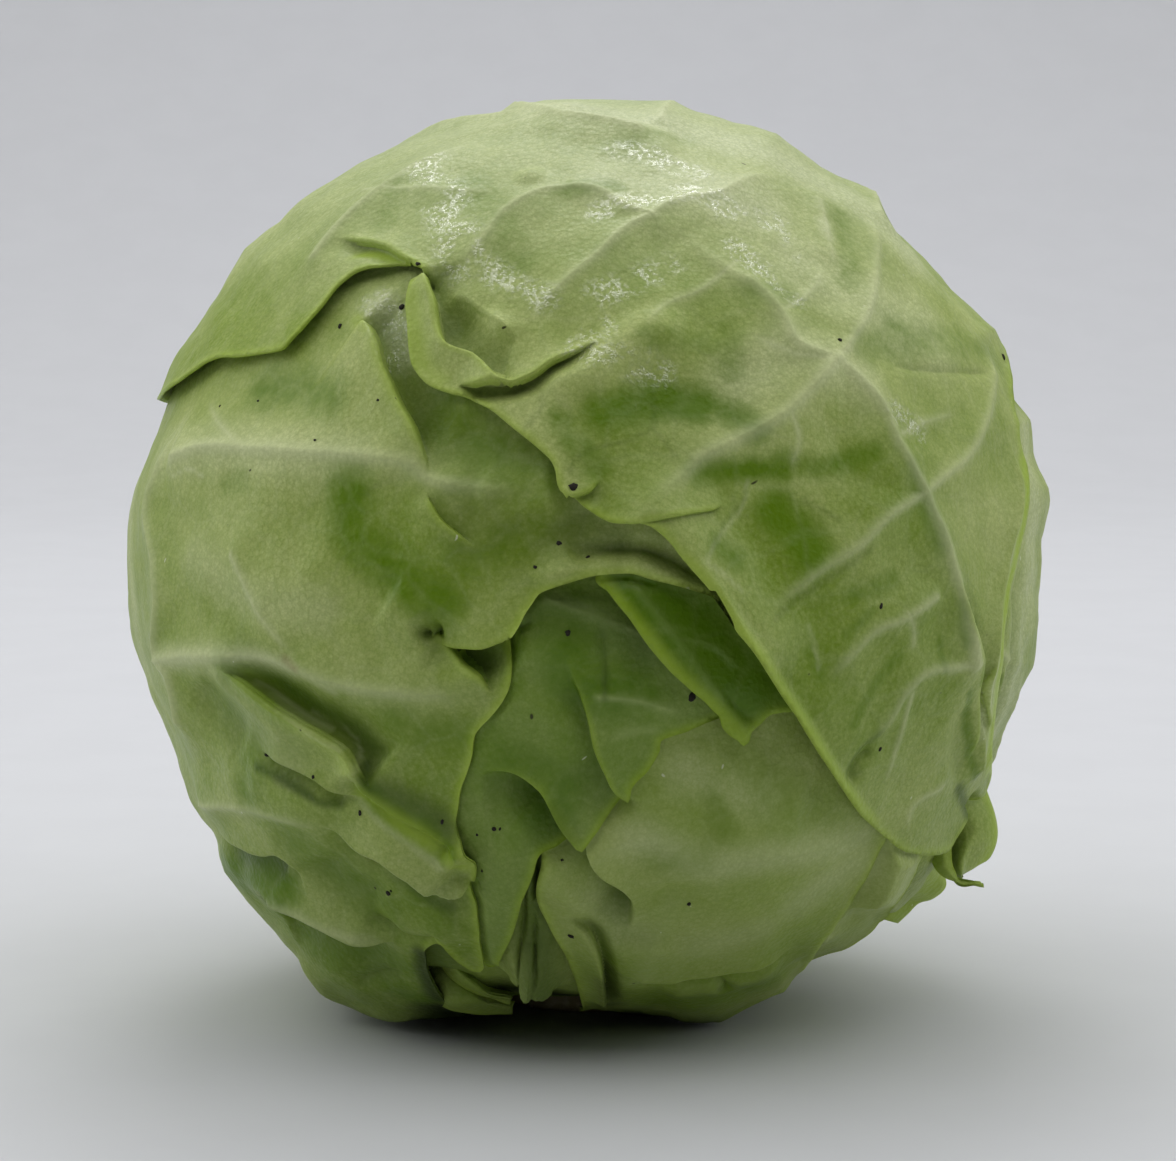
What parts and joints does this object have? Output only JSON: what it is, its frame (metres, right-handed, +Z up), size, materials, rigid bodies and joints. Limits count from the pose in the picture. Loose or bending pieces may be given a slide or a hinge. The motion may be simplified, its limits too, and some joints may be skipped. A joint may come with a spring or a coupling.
{
  "type": "green cabbage",
  "caption": "Round head of green cabbage, wrapped in overlapping veined leaves round a tight heart, standing on its cut stem.",
  "frame": {"origin": "middle of the stem's flat cut face, which the head stands on", "axes": "+Z up through the head, -Y towards the front, where the crown leaf's edge crosses the head, +X to the right of that view"},
  "size_m": [0.1319, 0.1346, 0.1301],
  "materials": {
    "outer_leaf": "fresh leaf skin with a grey-green wax bloom, rubbed to a deeper green in places, pale veins",
    "shaded_leaf": "deeper green leaf skin with little bloom and yellow-green edges",
    "pale_leaf": "pale grey-green leaf skin, smooth, with broad flat veins",
    "heart_leaf": "pale yellow-green inner leaf, moist",
    "cut_stem": "matt fibrous cut face, cream, drying to light brown at the rim"
  },
  "bodies": {
    "root": {"leaf_crown": "outer_leaf", "leaf_left": "outer_leaf", "leaf_tip": "shaded_leaf", "leaf_middle": "shaded_leaf", "leaf_lower_right": "pale_leaf", "leaf_lower_back": "pale_leaf", "leaf_right": "outer_leaf", "leaf_back": "outer_leaf", "leaf_inner": "pale_leaf", "heart": "heart_leaf", "stem": "cut_stem"}
  },
  "joints": []
}
